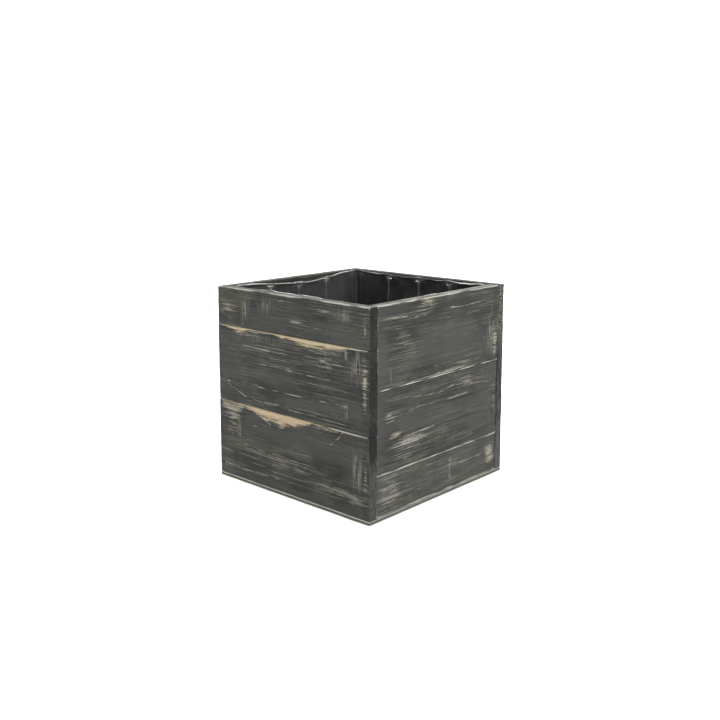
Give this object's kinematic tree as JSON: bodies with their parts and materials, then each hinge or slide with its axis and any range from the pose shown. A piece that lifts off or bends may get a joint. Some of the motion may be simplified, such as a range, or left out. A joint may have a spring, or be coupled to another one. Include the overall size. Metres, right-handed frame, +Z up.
{
  "type": "planter box",
  "caption": "Small cube planter of staggered, distressed wooden boards on a thin plywood base, with a stapled black film liner.",
  "frame": {"origin": "middle of the underside, on the surface that the box stands on", "axes": "+Z up through the open top, -Y out of the front wall, +X out of the right wall"},
  "size_m": [0.158, 0.158, 0.1515],
  "materials": {
    "stained_wood": "dark grey wash, dry and sanded, bare wood on the arrises",
    "plywood": "thin three-ply, pale edge, lightly greyed",
    "black_film": "thin glossy black film",
    "brad_steel": "dull coated steel",
    "staple_wire": "bright galvanised wire"
  },
  "bodies": {
    "root": {"front_board_bottom": "stained_wood", "front_board_middle": "stained_wood", "front_board_top": "stained_wood", "right_board_bottom": "stained_wood", "right_board_middle": "stained_wood", "right_board_top": "stained_wood", "back_board_bottom": "stained_wood", "back_board_middle": "stained_wood", "back_board_top": "stained_wood", "left_board_bottom": "stained_wood", "left_board_middle": "stained_wood", "left_board_top": "stained_wood", "base_panel": "plywood", "liner": "black_film", "corner_brads_front_left": "brad_steel", "corner_brads_front_right": "brad_steel", "corner_brads_back_left": "brad_steel", "corner_brads_back_right": "brad_steel", "base_brads": "brad_steel", "staples_front": "staple_wire", "staples_right": "staple_wire", "staples_back": "staple_wire", "staples_left": "staple_wire"}
  },
  "joints": []
}
